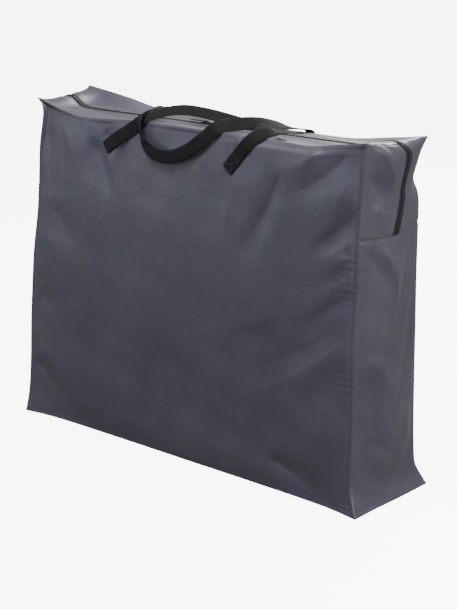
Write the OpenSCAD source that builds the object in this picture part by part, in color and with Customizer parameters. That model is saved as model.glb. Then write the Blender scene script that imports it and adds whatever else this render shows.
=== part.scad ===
// Folded playpen packed in its zipped carry bag.
// Origin: middle of the flat bottom. +X along the width, -Y is the front, +Z up.

/* [Bag] */
// Width of the bag
bag_w = 880; // [840:1:920]
// Depth of the bag, front to back
bag_d = 200; // [196:1:215]
// Height of the seams that the top opens along
top_z = 692; // [690:1:715]
// How far the soft corners stand above those seams
ear_rise = 28; // [10:1:40]
// Width of each soft corner
ear_w = 78; // [60:1:80]
// Thickness of the bag's cloth as a solid
cloth_t = 2; // [1.5:0.1:2.5]
// Height of the level seam on the short sides
side_seam_z = 548; // [500:1:590]

/* [Opening] */
// Width of the fixed stretch of top at each end
end_w = 80; // [80:1:110]
// Half length of the clearance for the zip sliders
notch_w = 110; // [90:1:130]
// Half width of the clearance for the zip sliders
notch_d = 12; // [10:0.5:14]
// Width of each zip tape, from its edge to the teeth
tape_w = 14; // [12:0.5:18]
// Half width of the zip's coil
coil_w = 3; // [2:0.25:4]

/* [Handles] */
// Width of the webbing
strap_w = 27; // [24:1:32]
// Thickness of the webbing
strap_t = 2.4; // [1.5:0.1:2.6]
// Height of the handle ends, where they are sewn to the panels
strap_end_z = 628; // [610:1:640]

/* [Folded playpen] */
// Width of each end frame
frame_w = 780; // [760:1:790]
// How far the folded playpen sits right of the bag's middle
frame_shift = 20; // [0:1:25]
// Height of each end frame
frame_h = 664; // [640:1:670]
// Diameter of the end frame tube
frame_tube = 22; // [19:1:25]
// Bend radius of the end frame at its corners
frame_bend = 45; // [35:1:50]
// Diameter of the folding rails
rail_tube = 19; // [16:1:20]
// Thickness of each mattress half
mattress_t = 28; // [20:1:30]
// Thickness of each floor board
board_t = 5; // [3:0.5:6]

/* [Hidden] */
$fn = 48;

half_w = bag_w / 2;
half_d = bag_d / 2;
lip_half = half_w - end_w;
ear_z = top_z + ear_rise;
gap = 0.5;              // clearance between a lip and what it is hinged beside
zip_gap = 0.3;          // clearance between the two halves of the coil
tape_t = 1;             // zip tape thickness
coil_h = 2.4;           // height of the coil above the tape's underside
slit = tape_w - 4;      // half width of the slot in the cloth that the tape bridges

// Sliders
slider_l = 22;
slider_w = 9;
slider_wall = 1.5;
slider_gap = 1;         // between the two sliders' noses, from the middle
slider_lift = 0.4;      // between the coil and the slider's plates
bridge_h = 3.2;
bridge_w = 3;
tab_l = 42;
tab_w = 8;
tab_t = 1.8;
tab_pin_r = 1;
tab_pin_x = slider_gap + slider_l / 2;

coil_low = top_z - tape_t - 0.7;
coil_top = coil_low + coil_h;
slider_low = coil_low - slider_lift - slider_wall;
slider_top = coil_top + slider_lift + slider_wall;
tab_pin_z = slider_top + bridge_h - tab_pin_r - 0.7;

// Handles: where each strap leaves its panel, and how far its loop reaches
front_leg_left = -97;
front_leg_right = 192;
front_end_left = -186;
front_end_right = 136;
front_reach = 66;
front_tip_x = 222;
back_leg_left = -205;
back_leg_right = 184;
back_end_left = -186;
back_end_right = 136;
over_left = -96;        // where the back handle crosses the front edge
over_right = 84;
drop_z = 627;           // lowest point of the back handle's loop on the front panel
front_handle_z = top_z + 2.4;
back_handle_z = front_handle_z + strap_t + 1.6;
hang_gap = strap_t + 1.2;
leg_start = 4;          // clear of the strap end round the seam

// Folded playpen
frame_r = frame_tube / 2;
frame_y = half_d - cloth_t - 3 - frame_r;
frame_low = cloth_t + 8;
frame_top = frame_low + frame_h;
rail_r = rail_tube / 2;
rail_y = 20;
bracket_h = 30;
bracket_reach = frame_r + frame_bend + bracket_h / 2 + 3;
rail_top_z = frame_top - bracket_reach;
rail_low_z = frame_low + bracket_reach;
rail_in = 24;           // where a half rail meets its knuckle
rail_out = frame_w / 2 - 30;
bracket_t = 14;
bracket_wall = 2;
knuckle_h = 24;
pin_r = 4;
board_low = rail_low_z + rail_r + 6;
board_h = 420;
board_w = 2 * rail_out;
fold_gap = 3;
wall_t = 2;
side_wall_low = board_low + board_h + 6;
side_wall_high = rail_top_z - rail_r - 4;
foot_h = frame_low - cloth_t;

function face_sign(face) = face == "front" ? -1 : 1;

// A box given by its lowest and highest corners
module span(low, high) {
    translate(low)
        cube(high - low);
}

// The same shape at the left or the right
module at_side(side) {
    mirror([side == "left" ? 1 : 0, 0, 0])
        children();
}

// The same shape at the front or the back, drawn for the back
module at_face(face) {
    mirror([0, face == "front" ? 1 : 0, 0])
        children();
}

// ---- Bag cloth ----

module panel_outline() {
    polygon([
        [-half_w, cloth_t], [half_w, cloth_t], [half_w, ear_z],
        [half_w - ear_w, top_z], [ear_w - half_w, top_z], [-half_w, ear_z]
    ]);
}

module panel(face) {
    color("#3d3f4a")
        at_face(face)
            translate([0, half_d, 0])
                rotate([90, 0, 0])
                    linear_extrude(cloth_t)
                        panel_outline();
}

module bottom_gusset() {
    color("#34353d")
        span([-half_w, -half_d, 0], [half_w, half_d, cloth_t]);
}

module side_gusset(side) {
    color("#474850")
        at_side(side)
            span([half_w - cloth_t, cloth_t - half_d, cloth_t],
                 [half_w, half_d - cloth_t, side_seam_z]);
}

// Upper side and fixed top end, on one side of the zip
module upper_gusset(side, face) {
    color("#4a4b53")
        at_side(side)
            at_face(face)
                difference() {
                    span([lip_half, slit, side_seam_z],
                         [half_w, half_d - cloth_t, top_z]);
                    span([lip_half - 1, slit - 1, side_seam_z - 1],
                         [half_w - cloth_t, half_d, top_z - cloth_t]);
                }
}

module lip(face) {
    color("#44464f")
        at_face(face)
            difference() {
                span([-lip_half + gap, slit, top_z - cloth_t],
                     [lip_half - gap, half_d - cloth_t - gap, top_z]);
                span([-notch_w, slit - 1, top_z - cloth_t - 1],
                     [notch_w, notch_d, top_z + 1]);
            }
}

// ---- Zip ----

// A strip that runs along the top end and down the side to the seam
module zip_corner(side, low_y, high_y, depth, thick) {
    at_side(side)
        difference() {
            span([lip_half, low_y, side_seam_z],
                 [half_w - depth, high_y, top_z - depth]);
            span([lip_half - 1, low_y - 1, side_seam_z - 1],
                 [half_w - depth - thick, high_y + 1, top_z - depth - thick]);
        }
}

module corner_tape(side) {
    color("#1d1d20")
        difference() {
            zip_corner(side, -slit, slit, 0.4, tape_t);
            zip_corner(side, -coil_w, coil_w, 0, tape_t + 0.8);
        }
}

module corner_chain(side) {
    color("#111113")
        zip_corner(side, -coil_w, coil_w, -0.4, coil_h - 0.6);
}

module lip_tape(face) {
    color("#1d1d20")
        at_face(face)
            for (side = ["left", "right"])
                at_side(side)
                    span([notch_w, coil_w, top_z - tape_t - 0.4],
                         [lip_half - gap, slit, top_z - 0.4]);
}

module lip_teeth(face) {
    color("#111113")
        at_face(face)
            for (side = ["left", "right"])
                at_side(side)
                    span([notch_w, zip_gap / 2, coil_low],
                         [lip_half - gap, coil_w, coil_top]);
}

module slider(side) {
    color("#2a2a2c")
        at_side(side)
            difference() {
                union() {
                    span([slider_gap, -slider_w / 2, slider_low],
                         [slider_gap + slider_l, slider_w / 2, slider_top]);
                    span([tab_pin_x - bridge_w, -bridge_w / 2, slider_top],
                         [tab_pin_x + bridge_w, bridge_w / 2, slider_top + bridge_h]);
                }
                // channel for the coil, and the bore that the pull tab's pin turns in
                span([slider_gap - 1, -coil_w - slider_lift, coil_low - slider_lift],
                     [slider_gap + slider_l + 1, coil_w + slider_lift, coil_top + slider_lift]);
                translate([tab_pin_x, 0, tab_pin_z])
                    rotate([90, 0, 0])
                        cylinder(r = tab_pin_r + 0.05, h = bridge_w * 2, center = true);
            }
}

// Pull tab lying flat, its pin through the slider's bridge
module pull_tab(side) {
    color("#1f1f21")
        at_side(side) {
            translate([tab_pin_x, 0, tab_pin_z])
                rotate([90, 0, 0])
                    cylinder(r = tab_pin_r, h = tab_w, center = true);
            for (edge = [-1, 1])
                translate([tab_pin_x, edge * (bridge_w / 2 + 0.4 + 0.9), tab_pin_z])
                    span([0, -0.9, -tab_pin_r], [bridge_w + 3, 0.9, tab_pin_r]);
            difference() {
                translate([0, 0, tab_pin_z - tab_t / 2])
                    linear_extrude(tab_t) {
                        translate([tab_pin_x + bridge_w + 1, -tab_w / 2])
                            square([tab_l - tab_w / 2 - bridge_w - 1, tab_w]);
                        translate([tab_pin_x + tab_l - tab_w / 2, 0])
                            circle(d = tab_w);
                    }
                translate([tab_pin_x + tab_l - tab_w / 2, 0, tab_pin_z])
                    cylinder(d = tab_w / 2, h = tab_t * 2, center = true);
            }
        }
}

// ---- Handles ----

// Outline of a strap that follows a list of points, with mitred corners
function unit(v) = v / norm(v);
function quarter_turn(v) = [-v.y, v.x];
function edge_step(points, i) =
    let (
        last = len(points) - 1,
        before = unit(points[max(i, 1)] - points[max(i, 1) - 1]),
        after = unit(points[min(i, last - 1) + 1] - points[min(i, last - 1)]),
        across = unit(quarter_turn(before) + quarter_turn(after))
    )
    across * (strap_w / 2) / (across * quarter_turn(after));

module strap_path(points) {
    last = len(points) - 1;
    polygon(concat(
        [for (i = [0 : last]) points[i] + edge_step(points, i)],
        [for (i = [last : -1 : 0]) points[i] - edge_step(points, i)]
    ));
}

// The same outline, laid flat on the top or hung flat on the front
module strap_flat(low_z) {
    translate([0, 0, low_z])
        linear_extrude(strap_t)
            children();
}

module strap_upright(back_y) {
    translate([0, back_y, 0])
        rotate([90, 0, 0])
            linear_extrude(strap_t)
                children();
}

module handle_ends(face, end_left, leg_left, end_right, leg_right) {
    high = top_z - gap;
    color("#202023")
        difference() {
            at_face(face)
                translate([0, half_d + strap_t, 0])
                    rotate([90, 0, 0])
                        linear_extrude(strap_t) {
                            strap_path([[end_left, strap_end_z], [leg_left, high], [leg_left, ear_z]]);
                            strap_path([[end_right, strap_end_z], [leg_right, high], [leg_right, ear_z]]);
                        }
            span([-half_w, -bag_d, high], [half_w, bag_d, ear_z]);
        }
}

module front_handle() {
    start_y = leg_start - half_d;
    far_y = front_reach - half_d;
    color("#1b1b1e")
        difference() {
            strap_flat(front_handle_z)
                strap_path([
                    [front_leg_left, -half_d], [front_leg_left + 12, far_y - 34],
                    [front_leg_left + 40, far_y - 9], [-20, far_y], [90, far_y],
                    [front_tip_x - 28, far_y - 3], [front_tip_x - 4, far_y - 18],
                    [front_leg_right + 12, far_y - 46], [front_leg_right, -half_d]
                ]);
            span([-half_w, -bag_d, top_z], [half_w, start_y, ear_z]);
        }
}

module back_handle() {
    start_y = half_d - leg_start;
    over_y = -half_d - hang_gap - strap_t;
    hang_z = drop_z + strap_w / 2;
    color("#1b1b1e") {
        difference() {
            strap_flat(back_handle_z)
                for (leg = [[back_leg_left, over_left], [back_leg_right, over_right]])
                    strap_path([[leg[0], half_d], [leg[1], over_y - strap_w]]);
            span([-half_w, start_y, top_z], [half_w, bag_d, ear_z]);
            span([-half_w, -bag_d, top_z], [half_w, over_y, ear_z]);
        }
        difference() {
            strap_upright(over_y + strap_t)
                strap_path([
                    [over_left, ear_z], [over_left, hang_z + 36], [over_left + 12, hang_z + 13],
                    [over_left + 32, hang_z + 2], [over_left + 58, hang_z],
                    [over_left + 92, hang_z + 12], [over_right - 28, hang_z + 36],
                    [over_right, back_handle_z + strap_t], [over_right, ear_z]
                ]);
            span([-half_w, -bag_d, back_handle_z + strap_t], [half_w, 0, ear_z + strap_w]);
        }
    }
}

// ---- Folded playpen ----

// The folded playpen lies a little off the bag's middle
module shifted() {
    translate([frame_shift, 0, 0])
        children();
}

// A quarter bend of the end frame, drawn round the origin
module tube_bend() {
    rotate_extrude(angle = 90)
        translate([frame_bend, 0])
            circle(r = frame_r);
}

// Closed loop of bent tube standing on its long side
module end_frame(face) {
    run_x = frame_w / 2 - frame_r - frame_bend;
    run_z = frame_h / 2 - frame_r - frame_bend;
    shifted() color("#8d9096")
        translate([0, face_sign(face) * frame_y, frame_low + frame_h / 2])
            rotate([90, 0, 0]) {
                for (end = [-1, 1]) {
                    translate([-run_x, end * (run_z + frame_bend), 0])
                        rotate([0, 90, 0])
                            cylinder(r = frame_r, h = 2 * run_x);
                    translate([end * (run_x + frame_bend), -run_z, 0])
                        rotate([-90, 0, 0])
                            cylinder(r = frame_r, h = 2 * run_z);
                }
                for (turn = [0 : 3])
                    translate([
                        (turn == 0 || turn == 3 ? 1 : -1) * run_x,
                        (turn < 2 ? 1 : -1) * run_z, 0
                    ])
                        rotate(turn * 90)
                            tube_bend();
            }
}

module half_rail(side, face, at_z) {
    shifted() color("#9a9da3")
        at_side(side)
            translate([rail_in, face_sign(face) * rail_y, at_z])
                rotate([0, 90, 0])
                    cylinder(r = rail_r, h = rail_out - rail_in);
}

// Moulded hinge across the inner ends of two half rails, bored for its pin
module rail_knuckles() {
    shifted() color("#25262a")
        for (side = ["left", "right"])
            for (at_z = [rail_low_z, rail_top_z])
                at_side(side)
                    difference() {
                        span([4, -rail_y - rail_r, at_z - knuckle_h / 2],
                             [rail_in, rail_y + rail_r, at_z + knuckle_h / 2]);
                        translate([(4 + rail_in) / 2, 0, at_z])
                            cylinder(r = pin_r, h = knuckle_h * 2, center = true);
                    }
}

module rail_knuckle_pins() {
    shifted() color("#c2c4c8")
        for (side = ["left", "right"])
            for (at_z = [rail_low_z, rail_top_z])
                at_side(side)
                    translate([(4 + rail_in) / 2, 0, at_z])
                        cylinder(r = pin_r, h = knuckle_h, center = true);
}

// Brackets that join each half rail's outer end to the upright of its end frame
module corner_brackets() {
    tube_x = frame_w / 2 - frame_r;
    clamp = frame_r + bracket_wall;
    shifted() color("#25262a")
        for (side = ["left", "right"])
            for (face = ["front", "back"])
                for (at_z = [rail_low_z, rail_top_z])
                    at_side(side)
                        at_face(face)
                            translate([0, 0, at_z - bracket_h / 2])
                                difference() {
                                    union() {
                                        span([rail_out, rail_y - rail_r, 0],
                                             [rail_out + bracket_t, frame_y, bracket_h]);
                                        translate([tube_x, frame_y, 0])
                                            cylinder(r = clamp, h = bracket_h);
                                    }
                                    translate([tube_x, frame_y, -1])
                                        cylinder(r = frame_r, h = bracket_h + 2);
                                }
}

module foot_pads() {
    shifted() color("#1a1a1c")
        for (side = ["left", "right"])
            for (face = ["front", "back"])
                at_side(side)
                    at_face(face)
                        difference() {
                            span([frame_w / 2 - 150, frame_y - frame_r, cloth_t],
                                 [frame_w / 2 - 110, frame_y + frame_r, cloth_t + foot_h + 7]);
                            translate([frame_w / 2 - 200, frame_y, frame_low + frame_r])
                                rotate([0, 90, 0])
                                    cylinder(r = frame_r, h = 140);
                        }
}

module end_wall(face) {
    half_h = frame_h / 2 - frame_tube;
    shifted() color("#b9bcc2")
        at_face(face)
            translate([0, frame_y + wall_t / 2, frame_low + frame_h / 2])
                rotate([90, 0, 0])
                    linear_extrude(wall_t)
                        difference() {
                            square([2 * rail_out, 2 * half_h], center = true);
                            for (side = [-1, 1])
                                for (end = [-1, 1])
                                    translate([side * rail_out, end * half_h])
                                        rotate(45)
                                            square(frame_bend, center = true);
                        }
}

module side_wall_folded(side) {
    shifted() color("#a9acb3")
        at_side(side)
            span([rail_in, -rail_y - 4, side_wall_low], [rail_out, rail_y + 4, side_wall_high]);
}

module floor_board(face) {
    shifted() color("#b08a5c")
        at_face(face)
            span([-board_w / 2, fold_gap + mattress_t + 1, board_low],
                 [board_w / 2, fold_gap + mattress_t + 1 + board_t, board_low + board_h]);
}

// Webbing that joins the lower edges of the two boards
module floor_hinge_strip() {
    reach = fold_gap + mattress_t + 1 + board_t;
    shifted() color("#2b2b2f")
        span([-board_w / 2 + 20, -reach, board_low - 2], [board_w / 2 - 20, reach, board_low]);
}

module mattress(face) {
    shifted() color("#8f939d")
        at_face(face)
            span([-board_w / 2 + 5, fold_gap, board_low],
                 [board_w / 2 - 5, fold_gap + mattress_t, board_low + board_h - 5]);
}

panel("front");  // front_panel
panel("back");  // back_panel
bottom_gusset();
side_gusset("left");  // left_side_gusset
side_gusset("right");  // right_side_gusset
upper_gusset("left", "front");  // left_gusset_front
upper_gusset("left", "back");  // left_gusset_back
upper_gusset("right", "front");  // right_gusset_front
upper_gusset("right", "back");  // right_gusset_back
lip("front");  // front_lip
lip("back");  // back_lip
corner_tape("left");  // left_zip_tape
corner_tape("right");  // right_zip_tape
corner_chain("left");  // left_zip_chain
corner_chain("right");  // right_zip_chain
lip_tape("front");  // front_lip_tape
lip_tape("back");  // back_lip_tape
lip_teeth("front");  // front_lip_teeth
lip_teeth("back");  // back_lip_teeth
slider("left");  // zip_slider_left
slider("right");  // zip_slider_right
pull_tab("left");  // pull_tab_left
pull_tab("right");  // pull_tab_right
handle_ends("front", front_end_left, front_leg_left, front_end_right, front_leg_right);  // front_handle_ends
handle_ends("back", back_end_left, back_leg_left, back_end_right, back_leg_right);  // back_handle_ends
front_handle();
back_handle();
end_frame("front");  // front_end_frame
end_frame("back");  // back_end_frame
half_rail("left", "front", rail_top_z);  // top_rail_left_front
half_rail("left", "back", rail_top_z);  // top_rail_left_back
half_rail("right", "front", rail_top_z);  // top_rail_right_front
half_rail("right", "back", rail_top_z);  // top_rail_right_back
half_rail("left", "front", rail_low_z);  // bottom_rail_left_front
half_rail("left", "back", rail_low_z);  // bottom_rail_left_back
half_rail("right", "front", rail_low_z);  // bottom_rail_right_front
half_rail("right", "back", rail_low_z);  // bottom_rail_right_back
rail_knuckles();
rail_knuckle_pins();
corner_brackets();
foot_pads();
end_wall("front");  // front_wall
end_wall("back");  // back_wall
side_wall_folded("left");  // left_wall_folded
side_wall_folded("right");  // right_wall_folded
floor_board("front");  // floor_board_front
floor_board("back");  // floor_board_back
floor_hinge_strip();
mattress("front");  // mattress_front
mattress("back");  // mattress_back
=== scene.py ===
import math

import bpy
import numpy as np
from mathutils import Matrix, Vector
from mathutils.bvhtree import BVHTree


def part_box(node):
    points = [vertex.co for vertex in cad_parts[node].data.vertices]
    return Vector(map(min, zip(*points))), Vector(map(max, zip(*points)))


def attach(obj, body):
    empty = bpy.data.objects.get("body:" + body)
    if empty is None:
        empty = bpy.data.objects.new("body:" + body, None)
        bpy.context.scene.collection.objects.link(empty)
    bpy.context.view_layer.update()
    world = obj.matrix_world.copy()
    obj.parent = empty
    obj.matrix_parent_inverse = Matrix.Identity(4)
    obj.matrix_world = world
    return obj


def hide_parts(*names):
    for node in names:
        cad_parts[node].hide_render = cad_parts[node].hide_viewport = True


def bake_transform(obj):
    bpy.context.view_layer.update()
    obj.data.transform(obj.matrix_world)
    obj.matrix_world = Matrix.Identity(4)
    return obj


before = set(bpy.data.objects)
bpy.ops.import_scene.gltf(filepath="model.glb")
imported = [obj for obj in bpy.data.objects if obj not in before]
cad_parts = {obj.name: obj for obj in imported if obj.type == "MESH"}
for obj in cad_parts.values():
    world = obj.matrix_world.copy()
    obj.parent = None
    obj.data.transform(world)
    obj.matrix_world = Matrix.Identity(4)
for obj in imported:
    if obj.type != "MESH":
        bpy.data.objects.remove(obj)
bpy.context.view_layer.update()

MM = 0.001

# ---- The bag's dimensions, from the frame ----

panel_low, panel_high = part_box("front_panel")
base_low, base_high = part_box("bottom_gusset")
side_low, side_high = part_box("right_side_gusset")
lip_low, lip_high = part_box("front_lip")
coil_low, coil_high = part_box("front_lip_teeth")
pack_low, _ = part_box("front_end_frame")
_, pack_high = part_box("back_end_frame")

HALF_W = base_high.x
HALF_D = base_high.y
TOP_Z = lip_high.z
SEAM_Z = side_high.z
LIP_HALF = round(lip_high.x, 3)
ZIP_Z = (coil_low.z + coil_high.z) / 2
TAPE_HALF = 11 * MM
CELL = 11 * MM                 # spacing of the cloth's grid while it is draped
FRONT_LIMIT = 116 * MM         # how far the loose cloth may stand out in front and behind
BLEND_START = LIP_HALF - 55 * MM
BLEND_END = 150 * MM


def curve_through(points):
    """A smooth line through a few (place, value) pairs in millimetres, read in metres."""
    at = np.array([p[0] for p in points], float) * MM
    value = np.array([p[1] for p in points], float) * MM
    rate = np.diff(value) / np.diff(at)
    turn = rate[:-1] * rate[1:] > 0
    inner = np.where(turn, np.sign(rate[1:]) * np.minimum(np.abs(rate[:-1]), np.abs(rate[1:])), 0)
    slope = np.concatenate([[rate[0]], inner, [rate[-1]]])

    def read(x):
        x = np.clip(np.asarray(x, float), at[0], at[-1])
        i = np.clip(np.searchsorted(at, x, side="right") - 1, 0, len(at) - 2)
        step = at[i + 1] - at[i]
        t = (x - at[i]) / step
        a = (1 + 2 * t) * (1 - t) ** 2 * value[i] + t * (1 - t) ** 2 * step * slope[i]
        b = t * t * (3 - 2 * t) * value[i + 1] + t * t * (t - 1) * step * slope[i + 1]
        return a + b

    return read


def smooth(low, high, x):
    t = np.clip((np.asarray(x, float) - low) / (high - low), 0, 1)
    return t * t * (3 - 2 * t)


def bump(x, middle, width):
    return np.exp(-(((np.asarray(x, float) - middle) / width) ** 2))


def near(a, b):
    return np.abs(a - b) < 1e-4


def unit(vectors):
    return vectors / np.maximum(np.linalg.norm(vectors, axis=-1, keepdims=True), 1e-12)


def run_along(points):
    """Distance from the first point to each point of a line."""
    return np.concatenate([[0], np.cumsum(np.linalg.norm(np.diff(points, axis=0), axis=1))])


def read_at(at, run, values):
    """Values of a line at some distances along it."""
    return np.stack([np.interp(at, run, column) for column in values.T], axis=1)


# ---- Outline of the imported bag: upright seams (height, x), top edges (x, height) ----

front_left_x = curve_through([
    (0, -462), (200, -450), (350, -435), (500, -410), (600, -400), (675, -382), (692, -402),
])
front_right_x = curve_through([(0, 450), (60, 431), (300, 430), (560, 435), (692, 445)])
back_right_x = curve_through([
    (0, 465), (50, 440), (460, 431), (580, 430), (602, 425), (620, 412), (650, 422), (692, 445),
])
back_left_x = curve_through([(0, -450), (450, -435), (620, -425), (692, -445)])
front_top_z = curve_through([
    (-440, 722), (-350, 700), (-300, 692), (-120, 700), (200, 700), (300, 698), (390, 710),
    (440, 718),
])
back_top_z = curve_through([
    (-440, 722), (-320, 705), (-230, 690), (50, 680), (250, 680), (380, 695), (440, 705),
])
zip_rise = curve_through([
    (-440, 25), (-405, 22), (-378, 4), (-365, 0), (365, 0), (385, 5), (410, 14), (440, 18),
])
end_bulge = curve_through([
    (0, 0), (150, 18), (450, 16), (548, 10), (600, 12), (660, 16), (692, 6),
])
zip_swing = curve_through([(548, 2), (590, 18), (630, 29), (665, 28), (692, 10)])
seam_dip = 10 * MM             # how far the level side seams sag, and half as much again between
corner_pull = 17 * MM          # how far the bottom corners are drawn out to the front and back
end_round = 27 * MM            # radius of the fold where the top turns down over each end


# ---- Shell of the bag: a closed grid over six sides, cut into named panels ----

PANELS = [
    "front_panel", "back_panel", "bottom_gusset", "left_side_gusset", "right_side_gusset",
    "left_gusset_front", "left_gusset_back", "right_gusset_front", "right_gusset_back",
    "front_lip_left", "front_lip_right", "back_lip_left", "back_lip_right",
    "left_tape", "right_tape",
    "front_tape_left", "front_tape_right", "back_tape_left", "back_tape_right",
]
PANEL = {name: i for i, name in enumerate(PANELS)}


def ruled(marks):
    """Grid lines that pass through every mark, about a cell apart."""
    lines = [marks[0]]
    for a, b in zip(marks, marks[1:]):
        n = max(1, round((b - a) / CELL))
        lines += [a + (b - a) * (i + 1) / n for i in range(n)]
    return lines


def gusset_panel(x, y, z, on_top):
    """Name of the top or short side's cut that a face belongs to."""
    side = "left" if x < 0 else "right"
    face = "front" if y < 0 else "back"
    in_tape = abs(y) < TAPE_HALF
    if on_top and abs(x) < LIP_HALF:
        return f"{face}_tape_{side}" if in_tape else f"{face}_lip_{side}"
    if not on_top and z < SEAM_Z:
        return f"{side}_side_gusset"
    return f"{side}_tape" if in_tape else f"{side}_gusset_{face}"


def make_shell():
    """Points, faces and panel numbers of the flat-sided box that the bag is sewn from."""
    xs = ruled([-HALF_W, -LIP_HALF, 0, LIP_HALF, HALF_W])
    ys = ruled([-HALF_D, -TAPE_HALF, 0, TAPE_HALF, HALF_D])
    zs = ruled([0, SEAM_Z, TOP_Z])
    index, cut, faces, labels = {}, [], [], []

    def point(i, j, k):
        if (i, j, k) not in index:
            index[i, j, k] = len(cut)
            cut.append((xs[i], ys[j], zs[k]))
        return index[i, j, k]

    def quad(corners, name):
        faces.append([point(*c) for c in corners])
        labels.append(PANEL[name])

    nx, ny, nz = len(xs) - 1, len(ys) - 1, len(zs) - 1
    for i in range(nx):
        for k in range(nz):
            square = [(i, k), (i + 1, k), (i + 1, k + 1), (i, k + 1)]
            quad([(a, 0, b) for a, b in square], "front_panel")
            quad([(a, ny, b) for a, b in reversed(square)], "back_panel")
        for j in range(ny):
            square = [(i, j), (i + 1, j), (i + 1, j + 1), (i, j + 1)]
            middle_x, middle_y = (xs[i] + xs[i + 1]) / 2, (ys[j] + ys[j + 1]) / 2
            quad([(a, b, 0) for a, b in reversed(square)], "bottom_gusset")
            quad([(a, b, nz) for a, b in square], gusset_panel(middle_x, middle_y, TOP_Z, True))
    for j in range(ny):
        for k in range(nz):
            square = [(j, k), (j + 1, k), (j + 1, k + 1), (j, k + 1)]
            middle_y, middle_z = (ys[j] + ys[j + 1]) / 2, (zs[k] + zs[k + 1]) / 2
            quad([(nx, a, b) for a, b in square], gusset_panel(HALF_W, middle_y, middle_z, False))
            quad([(0, a, b) for a, b in reversed(square)],
                 gusset_panel(-HALF_W, middle_y, middle_z, False))
    return np.array(cut), faces, labels


def shape_shell(cut):
    """Moves the flat-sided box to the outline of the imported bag."""
    x, y, z = cut.T
    u, v = x / HALF_W, y / HALF_D
    back = (v + 1) / 2
    between = 1 - v ** 2

    left_x = front_left_x(z) * (1 - back) + back_left_x(z) * back
    right_x = front_right_x(z) * (1 - back) + back_right_x(z) * back
    bulge = end_bulge(z) * between
    new_x = (left_x - bulge) + (right_x - left_x + 2 * bulge) * (u + 1) / 2

    panel_swell = 2 * MM * (1 - u ** 8) * smooth(0, 60 * MM, z) * smooth(TOP_Z, TOP_Z - 150 * MM, z)
    swing = zip_swing(z) * between * smooth(0.85, 1, u)
    drawn = corner_pull * np.exp(-z / (45 * MM) - (HALF_W - np.abs(x)) / (50 * MM)) + 2 * MM
    new_y = y + (panel_swell + drawn) * np.sign(v) * np.abs(v) ** 3 + swing

    front_z, back_z = front_top_z(x), back_top_z(x)
    straight = front_z * (1 - back) + back_z * back
    middle = ZIP_Z + zip_rise(x) - (front_z + back_z) / 2
    new_z = z + (straight + middle * between - TOP_Z) * smooth(TOP_Z - 140 * MM, TOP_Z, z)

    sag = seam_dip * (1 + 0.8 * between) * bump(z, SEAM_Z, 90 * MM)
    new_z = new_z - sag * smooth(0.85, 1, np.abs(u))

    radius = end_round * between
    near_end = np.maximum(0, np.abs(x) - (HALF_W - radius))
    near_top = np.maximum(0, z - (TOP_Z - radius))
    on_round = (near_end > 0) & (near_top > 0) & (radius > 1e-4)
    safe = np.maximum(radius, 1e-4)
    angle = np.where(near_end >= near_top, near_top / safe, 2 - near_end / safe) * math.pi / 4
    new_x = new_x - np.sign(u) * np.where(on_round, near_end - radius * np.cos(angle), 0)
    new_z = new_z - np.where(on_round, near_top - radius * np.sin(angle), 0)
    return np.stack([new_x, new_y, new_z], axis=1)


# ---- Mesh helpers ----


def new_object(name, points, faces):
    mesh = bpy.data.meshes.new(name)
    mesh.from_pydata([tuple(p) for p in points], [], [list(map(int, f)) for f in faces])
    mesh.update()
    made = bpy.data.objects.new(name, mesh)
    bpy.context.collection.objects.link(made)
    return made


def read_points(mesh):
    flat = np.zeros(len(mesh.vertices) * 3, np.float32)
    mesh.vertices.foreach_get("co", flat)
    return flat.reshape(-1, 3).astype(float)


def write_points(mesh, points):
    mesh.vertices.foreach_set("co", np.asarray(points, np.float32).ravel())
    mesh.update()


def only(made):
    bpy.ops.object.select_all(action="DESELECT")
    made.select_set(True)
    bpy.context.view_layer.objects.active = made


def apply_modifier(made, kind, **settings):
    only(made)
    modifier = made.modifiers.new(kind.lower(), kind)
    for key, value in settings.items():
        setattr(modifier, key, value)
    bpy.ops.object.modifier_apply(modifier=modifier.name)


def cube(low, high):
    """A cube between two corners, with its place in its mesh."""
    low, high = Vector(low), Vector(high)
    bpy.ops.object.select_all(action="DESELECT")
    bpy.ops.mesh.primitive_cube_add(size=1, location=(low + high) / 2)
    made = bpy.context.object
    made.dimensions = high - low
    bpy.ops.object.transform_apply(location=True, rotation=True, scale=True)
    return made


def block(low, high, bevel, segments=3):
    """A rounded block between two corners."""
    made = cube(low, high)
    apply_modifier(made, "BEVEL", width=bevel, segments=segments)
    return made


def set_uv(mesh, uv_of_point):
    """One UV per point, in metres of cloth."""
    corner = np.zeros(len(mesh.loops), np.int32)
    mesh.loops.foreach_get("vertex_index", corner)
    layer = mesh.uv_layers.new(name="cloth")
    layer.data.foreach_set("uv", np.asarray(uv_of_point, np.float32)[corner].ravel())


def finish_piece(made, finish, body=None):
    """The finish and, when one is given, the body it rides on."""
    made.data.materials.clear()
    made.data.materials.append(finish)
    if body:
        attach(made, body)
    return made


# ---- Draping: gravity and a little slack over the folded playpen ----


def add_folded_pack():
    """Stand-in block for the folded playpen, only there while the cloth is draped over it."""
    pack = block(pack_low, pack_high, 30 * MM, 4)
    bpy.ops.object.modifier_add(type="COLLISION")
    pack.collision.thickness_outer = 2 * MM
    pack.collision.cloth_friction = 20
    return pack


def held_points(cut):
    """The sewn edges, the base and the zip, which stay in place while the panels hang."""
    x, y, z = cut.T
    at_end, at_face, at_top = near(abs(x), HALF_W), near(abs(y), HALF_D), near(z, TOP_Z)
    on_zip = near(y, 0) & (at_top | (at_end & (z > SEAM_Z - 1e-4)))
    return (at_end & at_face) | (at_face & at_top) | near(z, 0) | on_zip


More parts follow.
